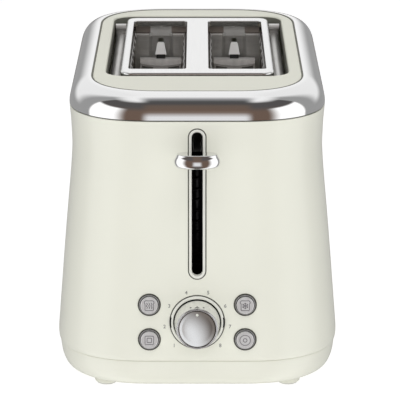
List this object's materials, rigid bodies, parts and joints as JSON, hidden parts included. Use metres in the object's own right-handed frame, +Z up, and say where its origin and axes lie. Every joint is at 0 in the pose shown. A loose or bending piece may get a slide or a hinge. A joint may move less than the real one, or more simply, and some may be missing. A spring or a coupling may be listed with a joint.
{
  "type": "pop up toaster",
  "caption": "Pop up toaster with flared cream housing, bright shoulder bezel, long bread slots, front lever on a sprung carriage, browning dial, push buttons and rear crumb tray.",
  "frame": {"origin": "middle of the bounding box's footprint, on the plane the foot pads rest on", "axes": "+Z up, -Y towards the lever and dial, +X to the right for someone facing the lever"},
  "size_m": [0.1866, 0.3104, 0.1986],
  "materials": {
    "cream_shell": "satin gloss cream",
    "cream_trim": "satin cream",
    "pale_trim": "satin off-white",
    "rubber_pad": "matte",
    "bright_chrome": "mirror polished",
    "polished_steel": "polished",
    "plain_steel": "mill finish",
    "satin_silver": "silver metallised satin",
    "spun_metal": "spun satin",
    "black_plastic": "matte",
    "white_plastic": "matte",
    "mica": "layered mica",
    "heating_alloy": "oxidised ribbon",
    "copper_coil": "enamelled copper",
    "board_green": "circuit board",
    "board_brown": "circuit board",
    "guard_wire": "plated wire"
  },
  "bodies": {
    "toaster_body": {"housing_shell": "cream_shell", "base_tray": "cream_shell", "feet": "cream_trim", "foot_pads": "rubber_pad", "top_bezel": "bright_chrome", "top_panel": "cream_trim", "slot_plate": "polished_steel", "lever_slot_trim": "pale_trim", "dial_bezel": "pale_trim", "dial_dish": "cream_shell", "button_bezels": "satin_silver", "front_carrier": "black_plastic", "chassis_pan": "plain_steel", "front_end_plate": "plain_steel", "rear_end_plate": "plain_steel", "side_shield_left": "polished_steel", "side_shield_right": "polished_steel", "mechanism_frame": "plain_steel", "guide_rod": "polished_steel", "heater_board_left": "mica", "heater_board_centre": "mica", "heater_board_right": "mica", "heater_ribbon_left": "heating_alloy", "heater_ribbon_centre": "heating_alloy", "heater_ribbon_right": "heating_alloy", "magnet_core": "plain_steel", "magnet_coil": "copper_coil", "control_board": "board_green", "board_switches": "black_plastic", "board_parts": "black_plastic", "board_screws": "plain_steel", "dial_encoder": "plain_steel", "main_contacts": "pale_trim", "power_board": "board_brown", "power_parts": "black_plastic", "cord_gland": "cream_trim", "base_screws": "plain_steel", "return_spring": "plain_steel"},
    "carriage": {"carriage_bracket": "plain_steel", "carriage_bushing": "white_plastic", "lever_stem": "plain_steel", "lever_knob": "bright_chrome", "bread_rack_left": "plain_steel", "bread_rack_right": "plain_steel", "latch_plate": "plain_steel", "contact_foot": "white_plastic"},
    "dial_knob": {"browning_knob": "pale_trim", "knob_face": "spun_metal", "knob_marker": "white_plastic", "knob_shaft": "plain_steel"},
    "reheat_button": {"button_reheat": "satin_silver"},
    "defrost_button": {"button_defrost": "satin_silver"},
    "stop_button": {"button_stop": "satin_silver"},
    "bagel_button": {"button_bagel": "satin_silver"},
    "crumb_drawer": {"crumb_tray": "plain_steel", "crumb_tray_handle": "cream_shell"},
    "left_outer_guard": {"guard_left_outer": "guard_wire"},
    "left_inner_guard": {"guard_left_inner": "guard_wire"},
    "right_inner_guard": {"guard_right_inner": "guard_wire"},
    "right_outer_guard": {"guard_right_outer": "guard_wire"}
  },
  "joints": [
    {"name": "carriage_slide", "type": "slide", "parent": "toaster_body", "child": "carriage", "axis": [0, 0, 1], "range_m": [-0.076, 0.01], "stiffness_N_per_m": 110, "springref_m": 0.01373, "deforming": ["return_spring"]},
    {"name": "knob_turn", "type": "hinge", "parent": "toaster_body", "child": "dial_knob", "pos_m": [0, -0.13659, 0.0492], "axis": [0, -0.9965, 0.0837], "range_deg": [-136, 136]},
    {"name": "reheat_press", "type": "slide", "parent": "toaster_body", "child": "reheat_button", "axis": [0, 0.9965, -0.0837], "range_m": [0, 0.0022], "stiffness_N_per_m": 500, "springref_m": -0.001},
    {"name": "defrost_press", "type": "slide", "parent": "toaster_body", "child": "defrost_button", "axis": [0, 0.9965, -0.0837], "range_m": [0, 0.0022], "stiffness_N_per_m": 500, "springref_m": -0.001},
    {"name": "stop_press", "type": "slide", "parent": "toaster_body", "child": "stop_button", "axis": [0, 0.9965, -0.0837], "range_m": [0, 0.0022], "stiffness_N_per_m": 500, "springref_m": -0.001},
    {"name": "bagel_press", "type": "slide", "parent": "toaster_body", "child": "bagel_button", "axis": [0, 0.9965, -0.0837], "range_m": [0, 0.0022], "stiffness_N_per_m": 500, "springref_m": -0.001},
    {"name": "crumb_tray_slide", "type": "slide", "parent": "toaster_body", "child": "crumb_drawer", "axis": [0, 1, 0], "range_m": [0, 0.215]},
    {"name": "left_outer_guard_tilt", "type": "hinge", "parent": "toaster_body", "child": "left_outer_guard", "pos_m": [-0.04595, 0.01735, 0.084], "axis": [0, 1, 0], "range_deg": [-0.5, 3.5]},
    {"name": "left_inner_guard_tilt", "type": "hinge", "parent": "toaster_body", "child": "left_inner_guard", "pos_m": [-0.00865, 0.01735, 0.084], "axis": [0, 1, 0], "range_deg": [-3.5, 0.5]},
    {"name": "right_inner_guard_tilt", "type": "hinge", "parent": "toaster_body", "child": "right_inner_guard", "pos_m": [0.00865, 0.01735, 0.084], "axis": [0, 1, 0], "range_deg": [-0.5, 3.5]},
    {"name": "right_outer_guard_tilt", "type": "hinge", "parent": "toaster_body", "child": "right_outer_guard", "pos_m": [0.04595, 0.01735, 0.084], "axis": [0, 1, 0], "range_deg": [-3.5, 0.5]}
  ],
  "couplings": [
    {"joint": "left_outer_guard_tilt", "follows": "carriage_slide", "rad_per_m": -0.78947},
    {"joint": "left_inner_guard_tilt", "follows": "carriage_slide", "rad_per_m": 0.78947},
    {"joint": "right_inner_guard_tilt", "follows": "carriage_slide", "rad_per_m": -0.78947},
    {"joint": "right_outer_guard_tilt", "follows": "carriage_slide", "rad_per_m": 0.78947}
  ]
}
